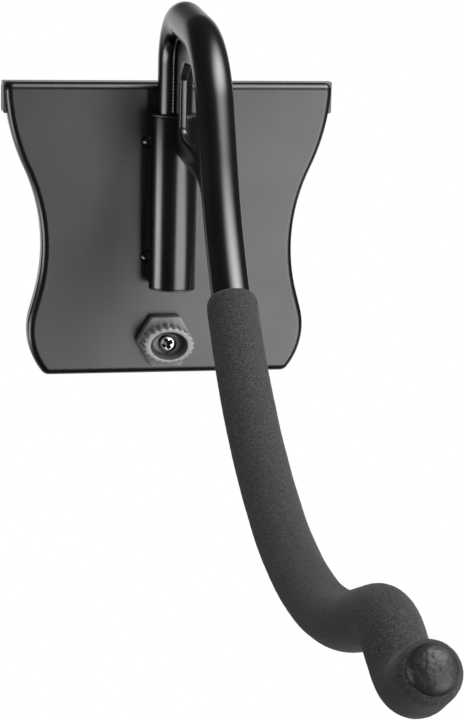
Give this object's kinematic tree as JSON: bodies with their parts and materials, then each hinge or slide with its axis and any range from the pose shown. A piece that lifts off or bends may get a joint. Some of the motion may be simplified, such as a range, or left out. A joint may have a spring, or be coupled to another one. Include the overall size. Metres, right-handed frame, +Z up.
{
  "type": "bicycle wall rack",
  "caption": "Flanged steel wall plate with a folded hanging lip, a quarter-turn lock, an upright pivot tube and a swinging foam-padded hook of bent tube.",
  "frame": {"origin": "on the seat under the folded lip, on the plate's centreline, in the plane of the panel's face (the rear edges of the side and foot flanges)", "axes": "+Z up, -Y out of the wall towards the hook's tip, +X to the right as seen from the front"},
  "size_m": [0.181, 0.5172, 0.2431],
  "materials": {
    "black_coat": "smooth semi-gloss black powder coat",
    "nylon": "moulded black nylon",
    "foam": "charcoal closed-cell foam, fine grain",
    "vinyl": "glossy black vinyl",
    "grey_plastic": "moulded grey plastic, fine texture",
    "zinc": "bright zinc plated steel"
  },
  "bodies": {
    "bracket": {"wall_plate": "black_coat", "pivot_tube": "black_coat", "upper_bushing": "nylon", "lower_bushing": "nylon"},
    "hook": {"hook_arm": "black_coat", "hook_gusset": "black_coat", "foam_grip": "foam", "end_cap": "vinyl", "shank_plug": "vinyl"},
    "lock": {"lock_knob": "grey_plastic", "lock_screw": "zinc", "lock_washer": "zinc", "lock_cam": "zinc", "lock_nut": "zinc"}
  },
  "joints": [
    {"name": "hook_swing", "type": "hinge", "parent": "bracket", "child": "hook", "pos_m": [0, -0.02322, 0], "axis": [0, 0, 1], "range_deg": [-86.8, 83.2]},
    {"name": "lock_turn", "type": "hinge", "parent": "bracket", "child": "lock", "pos_m": [-0.0016, -0.0105, -0.1395], "axis": [0, -1, 0], "range_deg": [0, 90]}
  ]
}
